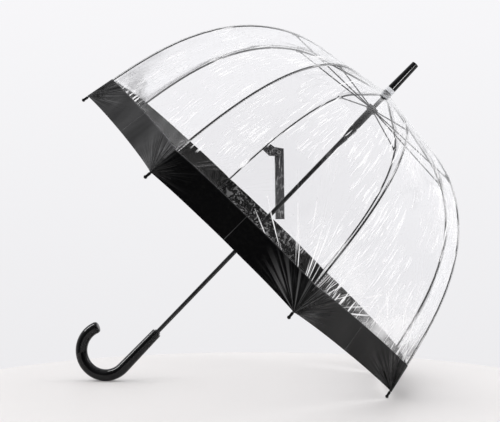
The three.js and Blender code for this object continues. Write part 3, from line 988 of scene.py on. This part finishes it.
FERRULE_FOOT = 0.013
FERRULE_FOOT_RADIUS = 0.009
FERRULE_TAPER_START = 0.018
FERRULE_END = 0.083
FERRULE_END_RADIUS = 0.0074
FERRULE_END_EDGE = 0.0018
FERRULE_BORE_END = 0.056
WASHER_RADIUS = 0.0098
WASHER_TOP = 0.0124
WASHER_GAP = 0.0006


def ferrule():
    """The tapered black cap on the shaft above the canopy, with a flat end."""
    profile = [
        (BORE_RADIUS, -FERRULE_BORE_END),
        (BORE_RADIUS, -FERRULE_FOOT),
        (FERRULE_FOOT_RADIUS - CHAMFER, -FERRULE_FOOT),
        (FERRULE_FOOT_RADIUS, -FERRULE_FOOT - CHAMFER),
        (FERRULE_FOOT_RADIUS - 0.0001, -FERRULE_TAPER_START),
    ]
    profile += rounded(FERRULE_END_RADIUS, -FERRULE_END, FERRULE_END_EDGE, -1)
    piece = turned("ferrule_cap", profile, GLOSS_BLACK)
    return stand_for(piece, "stick", "ferrule")


def washer_seat(radius):
    """The depth of the washer's underside, which follows the film."""
    _, height = canopy_line(radius)
    return -(height + hub_lift(radius)) - WASHER_GAP


def washer():
    """The pale washer that clamps the film under the ferrule."""
    profile = [
        (BORE_RADIUS, -WASHER_TOP),
        (WASHER_RADIUS - 0.0014, -WASHER_TOP),
        (WASHER_RADIUS - 0.0005, -WASHER_TOP + 0.0006),
        (WASHER_RADIUS, -WASHER_TOP + 0.0019),
        (WASHER_RADIUS, washer_seat(WASHER_RADIUS) - 0.0008),
    ]
    for radius in (WASHER_RADIUS - 0.0006, 0.0075, BORE_RADIUS + 0.0002):
        profile.append((radius, washer_seat(radius)))
    piece = turned("ferrule_washer_disc", profile, PALE_PLASTIC, hollow=True)
    stand_for(piece, "stick", "ferrule_washer")


# ---- Ribs ----

# Outlines as (radius, distance along the axis).
TIP_SLEEVE = [(0.0022, 0.0), (0.0027, 0.0004), (0.0026, 0.004), (0.0024, 0.0065), (0.0026, 0.0082)]
RIVET = [(0.0014, -0.0031), (0.0019, -0.0028), (0.0019, -0.0024), (0.0009, -0.0024)]
RIVET += [(0.0009, 0.0041), (0.0019, 0.0041), (0.0019, 0.0045), (0.0014, 0.0048)]
TIP_ARC = 0.673
TIP_BALL = 0.0034
TIP_LENGTH = 0.013
CLIP_START = 0.219
CLIP_END = 0.2346
CLIP_EDGE_LENGTH = 0.0006
CLIP_EDGE = 0.0005
CLIP_PROUD = 0.0003
CLIP_HEIGHT = 0.0045
CLIP_LEFT = 0.0024
CLIP_RIGHT = 0.0017
CLIP_ROUNDING = 0.0004
CLIP_ROUNDING_ANGLE = math.radians(40)


def rib_tip(number):
    """A moulded cap: a slim sleeve on the rod that swells to a ball."""
    along, outward, side = rib_directions(number, TIP_ARC)
    seat = rib_point(number, TIP_ARC, RIB_COVER + ROD_HEIGHT / 2)
    profile = list(TIP_SLEEVE)
    for turn in np.linspace(-0.25, math.pi / 2 - 0.06, 9):
        profile.append((TIP_BALL * math.cos(turn), TIP_LENGTH - TIP_BALL + TIP_BALL * math.sin(turn)))
    rings = [circle(seat + along * depth, radius, outward, side, 24) for radius, depth in profile]
    piece = loft(f"rib_tip_cap_{number}", rings, GLOSS_BLACK)
    stand_for(piece, f"rib_{number}_lower", f"rib_tip_{number}")


def clip_section(number, arc, shrink):
    """The four corners of the clip at that arc."""
    _, _, side = rib_directions(number, arc)
    outer = rib_point(number, arc, RIB_COVER - CLIP_PROUD + shrink)
    inner = rib_point(number, arc, RIB_COVER + CLIP_HEIGHT - shrink)
    left = side * (shrink - CLIP_LEFT)
    right = side * (CLIP_RIGHT - shrink)
    return [tuple(corner) for corner in (outer + left, outer + right, inner + right, inner + left)]


def joint_clip(number):
    """The clip that joins the steel rib to its rod."""
    outline = [(CLIP_START, CLIP_EDGE), (CLIP_START + CLIP_EDGE_LENGTH, 0)]
    outline += [(CLIP_END - CLIP_EDGE_LENGTH, 0), (CLIP_END, CLIP_EDGE)]
    sections = [clip_section(number, arc, shrink) for arc, shrink in outline]
    piece = loft(f"joint_clip_{number}", sections, MOULDED_BLACK)
    edges = {"limit_method": "ANGLE", "angle_limit": CLIP_ROUNDING_ANGLE}
    add_modifier(piece, "edge_rounding", "BEVEL", width=CLIP_ROUNDING, segments=2, **edges)
    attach(piece, f"rib_{number}_top")


def stretcher_rivet(number):
    """The rivet that the stretcher turns on."""
    along, outward, side = rib_directions(number, STRETCHER_ARC)
    pin = rib_point(number, STRETCHER_ARC, STRETCHER_INSET)
    rings = [circle(pin + side * reach, radius, along, outward, 16) for radius, reach in RIVET]
    piece = loft(f"stretcher_rivet_{number}", rings, BLACK_STEEL)
    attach(piece, f"rib_{number}_top")


def shade_smooth(node):
    """Smooth shading between facets and crisp edges. The node's own mesh stays as it is."""
    node.data.polygons.foreach_set("use_smooth", [True] * len(node.data.polygons))
    add_modifier(node, "weld", "WELD", merge_threshold=0.00001)
    add_modifier(node, "crisp_edges", "EDGE_SPLIT", split_angle=CRISP_ANGLE)


def finish_cad_nodes():
    """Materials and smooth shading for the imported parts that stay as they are."""
    looks = {"shaft": (BLACK_STEEL, "shaft_steel")}
    for name in ("crown_notch", "runner", "grip_collar"):
        looks[name] = (MOULDED_BLACK, "moulded_black_plastic")
    for name in ("crown_wire", "runner_wire", "top_spring_catch", "bottom_spring_catch"):
        looks[name] = (SPRING_STEEL, "bright_steel")
    for k in RIBS:
        looks[f"top_rib_{k}"] = (BLACK_STEEL, "rib_steel")
        looks[f"stretcher_{k}"] = (BLACK_STEEL, "rib_steel")
        looks[f"upper_rod_{k}"] = (BLACK_ROD, "rib_fibre")
        looks[f"lower_rod_{k}"] = (BLACK_ROD, "rib_fibre")
    for name, (material, slot) in looks.items():
        node = frame["nodes"][name]
        node.data.materials.clear()
        node.data.materials.append(material)
        shade_smooth(node)


# ---- Strap ----

STRAP_RIB = 3
STRAP_BODY = f"rib_{STRAP_RIB}_lower"
STRAP_WIDTH = 0.0225
STRAP_LENGTH = 0.170
STRAP_THICKNESS = 0.0006
STRAP_CURL = 0.0007
STRAP_DROP = 0.015
TAB_LENGTH = 0.055
BAND_ARC = 0.530
BAND_GAP = 0.0012
BAND_LAYER = 0.0011
ACROSS = np.linspace(0, 1, 9)

# Pairs of edge points as (x, z) off the strap's corner.
TAIL_EDGES = [
    ((-STRAP_WIDTH, -0.0005), (0, 0.0)),
    ((-STRAP_WIDTH, -STRAP_LENGTH), (0, -STRAP_LENGTH)),
]
TAB_EDGES = [
    ((-0.052, -0.001), (-0.037, 0.015)),
    ((-0.036, -0.0165), (-STRAP_WIDTH, 0.0045)),
    ((-STRAP_WIDTH, -0.0180), (-0.019, 0.0035)),
    ((-0.0004, -0.0190), (-0.0004, 0.0)),
]
SNAP_OUTLINE = [(0.0016, 0.0004), (0.0016, 0.0016), (0.0021, 0.0020), (0.0036, 0.0020)]
SNAP_OUTLINE += [(0.0046, 0.0014), (0.0050, 0.0006), (0.0050, 0.0), (0.0022, 0.0)]
SNAP_SIDES = 32
SNAP_DROP = 0.009
SNAP_DEPTH = 0.0013


def band_place(along, down, layer):
    """A place on the strap when it is wound round the closed canopy and fastened."""
    height, radius, reach = (float(value[0, 0]) for value in closed_profile(np.array([BAND_ARC])))
    outer = outermost(radius, reach) + BAND_GAP
    lift = layer + BAND_LAYER * along / (math.tau * outer)
    return place(outer + lift, rib_angle(STRAP_RIB) + along / outer, height + STRAP_WIDTH - down)


def add_band_shape(piece, points):
    add_closed_shape(piece, carried_back(np.array(points), np.array(CLOSED[STRAP_BODY])[:3]))


def strap_surface():
    """The plane that the strap lies in, as a function from (x, z) off its corner and distance proud."""
    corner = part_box("closing_strap")[1]
    face = max(frame["nodes"]["closing_strap"].data.polygons, key=lambda f: f.area)
    normal = face.normal.copy() if face.normal.y > 0 else -face.normal
    centre = face.center.copy()

    def on_gore(x, z, proud):
        x = corner.x + x
        z = corner.z - STRAP_DROP + z
        y = centre.y - (normal.x * (x - centre.x) + normal.z * (z - centre.z)) / normal.y
        return Vector((x, y, z)) + normal * proud

    return on_gore, normal


def between(first, second, share):
    return tuple(a + (b - a) * share for a, b in zip(first, second))


def ribbon(on_gore, edge_pairs, steps, proud_at):
    """Rows of points between pairs of edge points, with a shallow curl across the width."""
    rows = []
    for pair, next_pair in zip(edge_pairs, edge_pairs[1:]):
        for step in range(steps):
            rows.append([between(*ends, step / steps) for ends in zip(pair, next_pair)])
    rows.append(edge_pairs[-1])
    points = []
    for number, (start, end) in enumerate(rows):
        for share in ACROSS:
            proud = proud_at(number / len(rows)) - STRAP_CURL * (2 * share - 1) ** 2
            points.append(on_gore(*between(start, end, share), proud))
    return points, len(rows)


def tail_proud(share):
    """How far the hanging end stands off the film."""
    return 0.0002 + 0.0009 * math.sin(5.0 * share) * share


def tab_proud(share):
    """How far the tab stands off the film, behind the hanging end."""
    return -0.0010 - 0.0006 * math.cos(3.0 * share)


def wound(count, start, length, layer):
    """The same rows of points on the wound strap."""
    shares = np.arange(count) / (count - 1)
    return [band_place(start + length * s, STRAP_WIDTH * c, layer) for s in shares for c in ACROSS]


def strap(on_gore):
    """Two lengths of doubled sheet: a short tab from the seam, and the free end that hangs from it."""
    tail, tail_count = ribbon(on_gore, TAIL_EDGES, 34, tail_proud)
    tab, tab_count = ribbon(on_gore, TAB_EDGES, 7, tab_proud)
    faces = strip_faces(tail_count, len(ACROSS), False)
    faces += strip_faces(tab_count, len(ACROSS), False, len(tail))
    piece = mesh_piece("closing_strap_sheet", tail + tab, faces, STRAP_VINYL)
    add_modifier(piece, "sheet_thickness", "SOLIDIFY", thickness=STRAP_THICKNESS, offset=0)
    stand_for(piece, STRAP_BODY, "closing_strap")
    tail_wound = wound(tail_count, TAB_LENGTH - STRAP_WIDTH, STRAP_LENGTH, BAND_LAYER)
    add_band_shape(piece, tail_wound + wound(tab_count, 0, TAB_LENGTH, 0))


def strap_snap(on_gore, normal):
    """A pressed ring in the strap's corner."""
    centre = on_gore(-STRAP_WIDTH / 2, -SNAP_DROP, -SNAP_DEPTH)
    side = normal.cross(Vector((0, 0, 1))).normalized()
    front = normal.cross(side)
    spots = [(centre - normal * rise, radius) for radius, rise in SNAP_OUTLINE]
    rings = [circle(spot, radius, side, front, SNAP_SIDES) for spot, radius in spots]
    piece = loft("strap_snap_ring", rings, SPRING_STEEL, hollow=True)
    stand_for(piece, STRAP_BODY, "strap_snap")
    middle = TAB_LENGTH - STRAP_WIDTH / 2
    closed = []
    for radius, depth in SNAP_OUTLINE:
        for turn in np.arange(SNAP_SIDES) * math.tau / SNAP_SIDES:
            along = middle + radius * math.cos(turn)
            down = STRAP_WIDTH / 2 + radius * math.sin(turn)
            closed.append(band_place(along, down, 3 * BAND_LAYER + depth))
    add_band_shape(piece, closed)


# ---- Stage ----

TABLE_RADIUS = 0.665
TABLE_CENTRE = Vector((0.0, -0.125, 0.0))
TABLE_OUTLINE = [(0, -0.03), (0.004, -0.02), (0.004, -0.004), (0, 0)]
AIM = Vector((0, 0, 0.3))


def table_white():
    look = Look("table_white")
    place = look.node("NewGeometry").outputs["Position"]
    cloud = look.noise(place, scale=3)
    fine = look.noise(place, scale=240)
    return look.finish(look.surface(
        Base_Color=look.colours(cloud, (0.645, 0.63, 0.62), (0.67, 0.655, 0.645)),
        Roughness=0.6,
        Normal=look.bump(fine, 0.05, 0.0005),
    ))


def table_top():
    """A round pale table with a rounded edge."""
    rings = []
    for proud, height in TABLE_OUTLINE:
        centre = TABLE_CENTRE + Vector((0, 0, height))
        rings.append(circle(centre, TABLE_RADIUS + proud, (1, 0, 0), (0, 1, 0), 128))
    loft("table_top", rings, table_white())


def studio():
    """Pale surroundings for the camera, and a studio that is dark behind the camera for reflections."""
    world = bpy.data.worlds.new("studio")
    bpy.context.scene.world = world
    world.use_nodes = True
    nodes = Nodes(world.node_tree)
    direction = nodes.node("SeparateXYZ", {0: nodes.node("NewGeometry").outputs["Incoming"]})
    away = nodes.times(direction.outputs[1], -1.0)
    height = nodes.times(direction.outputs[2], -1.0)
    ahead = nodes.ramp(away, -0.8, 0.35, 0.04, 1.0, kind="LINEAR")
    sky = nodes.ramp(height, -0.2, 0.25, 0.84, 0.95, kind="LINEAR")

    def background(colour, strength):
        return nodes.node("Background", {"Color": (*colour, 1), "Strength": strength}).outputs[0]

    seen = background((0.985, 0.98, 1.0), sky)
    mirrored = background((0.98, 0.98, 1.0), ahead)
    even = background((0.99, 0.985, 1.0), 1.15)
    path = nodes.node("LightPath")
    light = nodes.mix(path.outputs["Is Glossy Ray"], even, mirrored)
    nodes.node("OutputWorld", {"Surface": nodes.mix(path.outputs["Is Camera Ray"], light, seen)})


def look_at(made, place, target):
    made.location = place
    made.rotation_mode = "QUATERNION"
    made.rotation_quaternion = (target - place).to_track_quat("-Z", "Y")


def softbox(name, place, width, power, shape_ratio, mirrored=True):
    """A rectangular lamp that faces the object. If it isn't mirrored, reflections leave it out."""
    data = bpy.data.lights.new(name, "AREA")
    data.shape = "RECTANGLE"
    data.size = width
    data.size_y = width * shape_ratio
    data.energy = power
    lamp = add_object(name, data)
    look_at(lamp, Vector(place), AIM)
    lamp.visible_glossy = mirrored
    return lamp


def lit_alone(lamp, pieces):
    """The lamp lights only these pieces."""
    group = bpy.data.collections.new(f"{lamp.name}_pieces")
    for piece in pieces:
        group.objects.link(piece)
    lamp.light_linking.receiver_collection = group


def lights(handle_pieces, ferrule_piece):
    """Three broad lamps, and two strips that draw the bright lines on the handle and the ferrule."""
    softbox("key_left", (-1.7, -0.9, 1.9), 1.7, 10, 0.6, mirrored=False)
    softbox("top", (0.2, 0.3, 2.2), 1.4, 8, 0.7, mirrored=False)
    softbox("rim_right", (1.7, 0.5, 1.3), 0.8, 6, 1.4)
    lit_alone(softbox("strip_left", (-1.5, -0.2, 1.4), 0.3, 24, 4.0), handle_pieces)
    lit_alone(softbox("strip_front", (1.1, -1.5, 0.3), 0.3, 17, 2.0), [ferrule_piece])


def camera():
    """The viewpoint: just under the middle of the umbrella, facing its side."""
    azimuth = math.radians(5.35)
    elevation = math.radians(-1.58)
    distance = 2.013
    target = Vector((-0.0231, 0, 0.3513))
    flat = math.cos(elevation)
    back = Vector((math.sin(azimuth) * flat, -math.cos(azimuth) * flat, math.sin(elevation)))
    data = bpy.data.cameras.new("camera")
    data.lens = 70.6
    data.sensor_width = 36
    made = add_object("camera", data)
    look_at(made, target + back * distance, target)
    bpy.context.scene.camera = made


canopy()
handle_pieces = [handle_shell(), end_cap()]
ferrule_piece = ferrule()
washer()
for rib in RIBS:
    rib_tip(rib)
    joint_clip(rib)
    stretcher_rivet(rib)
finish_cad_nodes()
strap_plane, strap_normal = strap_surface()
strap(strap_plane)
strap_snap(strap_plane, strap_normal)
table_top()
studio()
lights(handle_pieces, ferrule_piece)
camera()
bpy.context.scene.view_settings.view_transform = "Standard"
bpy.context.scene.cycles.transparent_max_bounces = 64
